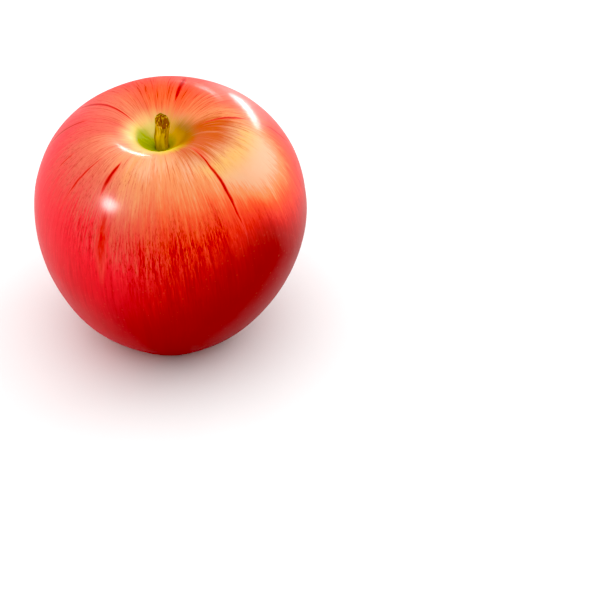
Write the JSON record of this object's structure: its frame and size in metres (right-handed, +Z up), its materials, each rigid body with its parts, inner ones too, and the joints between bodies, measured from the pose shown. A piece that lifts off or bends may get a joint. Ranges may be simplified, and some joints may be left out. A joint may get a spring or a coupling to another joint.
{
  "type": "apple",
  "caption": "Whole ripe apple resting upright on its eye end, with a short stalk in its cavity and dried sepals in its basin.",
  "frame": {"origin": "on the surface that the apple rests on, under the middle of its bounding box", "axes": "+Z up from the eye end to the stalk end, -Y toward the side that the picture shows, +X to its right"},
  "size_m": [0.0732, 0.0748, 0.067],
  "materials": {
    "skin": "gloss",
    "stalk": "matte",
    "sepal": "matte",
    "stamen": "matte"
  },
  "bodies": {
    "root": {"fruit": "skin", "stem": "stalk", "calyx": "sepal", "stamens": "stamen"}
  },
  "joints": []
}
